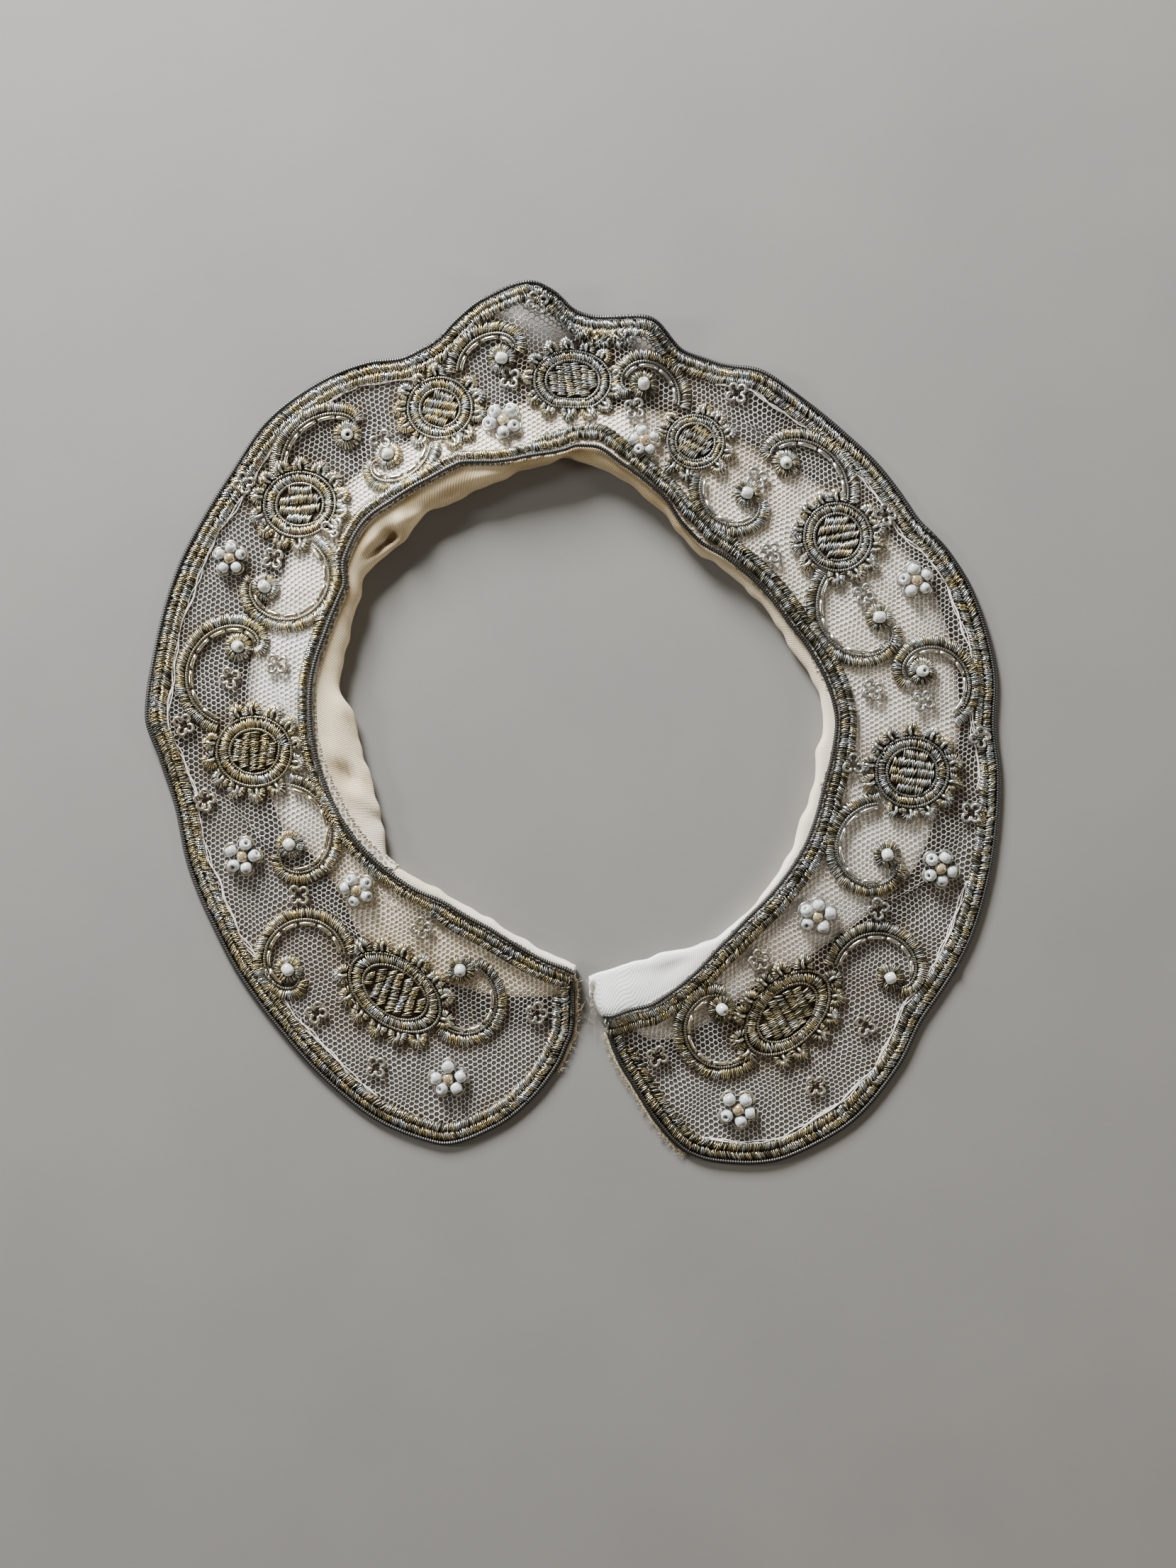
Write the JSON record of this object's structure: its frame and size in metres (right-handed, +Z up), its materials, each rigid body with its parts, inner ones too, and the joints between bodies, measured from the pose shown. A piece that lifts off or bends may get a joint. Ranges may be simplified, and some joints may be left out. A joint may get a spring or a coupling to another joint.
{
  "type": "beaded collar",
  "caption": "Flat C-shaped collar of hexagonal net with couched metal purl medallions, scrolls, bead flowers and corded borders, on a folded satin neckband, laid flat.",
  "frame": {"origin": "bottom centre of the bounding box, on the surface that the collar lies on", "axes": "+Z up from that surface, +Y from the front opening towards the back of the neck, +X to the right as seen from above"},
  "size_m": [0.2088, 0.2146, 0.0088],
  "materials": {
    "net": "off-white cotton net of small hexagonal cells, matt",
    "satin": "aged cream satin, soft sheen",
    "silvered_purl": "short chips of tarnished silver and gilt purl, bright edges",
    "wrapped_cord": "dark tarnished wire wrapped round a core",
    "pale_gold_purl": "tarnished pale gold purl and twisted cord",
    "pearl": "white imitation pearl in a rosette of purl chips",
    "white_glass": "milky white glass beads round a pale gold bead"
  },
  "bodies": {
    "root": {"net_ground": "net", "neckband": "satin", "outer_border": "silvered_purl", "neck_border": "silvered_purl", "outer_cord": "wrapped_cord", "neck_cord": "wrapped_cord", "medallion_1": "pale_gold_purl", "medallion_2": "pale_gold_purl", "medallion_3": "pale_gold_purl", "medallion_4": "pale_gold_purl", "medallion_5": "pale_gold_purl", "medallion_6": "pale_gold_purl", "medallion_7": "pale_gold_purl", "medallion_8": "pale_gold_purl", "medallion_9": "pale_gold_purl", "scroll_1a": "pale_gold_purl", "scroll_1b": "pale_gold_purl", "scroll_2a": "pale_gold_purl", "scroll_2b": "pale_gold_purl", "scroll_3a": "pale_gold_purl", "scroll_3b": "pale_gold_purl", "scroll_4a": "pale_gold_purl", "scroll_4b": "pale_gold_purl", "scroll_6a": "pale_gold_purl", "scroll_6b": "pale_gold_purl", "scroll_7a": "pale_gold_purl", "scroll_7b": "pale_gold_purl", "scroll_8a": "pale_gold_purl", "scroll_8b": "pale_gold_purl", "scroll_9a": "pale_gold_purl", "scroll_9b": "pale_gold_purl", "pearl_1a": "pearl", "pearl_1b": "pearl", "pearl_2a": "pearl", "pearl_2b": "pearl", "pearl_3a": "pearl", "pearl_3b": "pearl", "pearl_4a": "pearl", "pearl_4b": "pearl", "pearl_6a": "pearl", "pearl_6b": "pearl", "pearl_7a": "pearl", "pearl_7b": "pearl", "pearl_8a": "pearl", "pearl_8b": "pearl", "pearl_9a": "pearl", "pearl_9b": "pearl", "bead_flower_1": "white_glass", "bead_flower_2": "white_glass", "bead_flower_3": "white_glass", "bead_flower_4": "white_glass", "bead_flower_5": "white_glass", "bead_flower_6": "white_glass", "bead_flower_7": "white_glass", "bead_flower_8": "white_glass", "bead_flower_9": "white_glass", "bead_flower_10": "white_glass"}
  },
  "joints": []
}
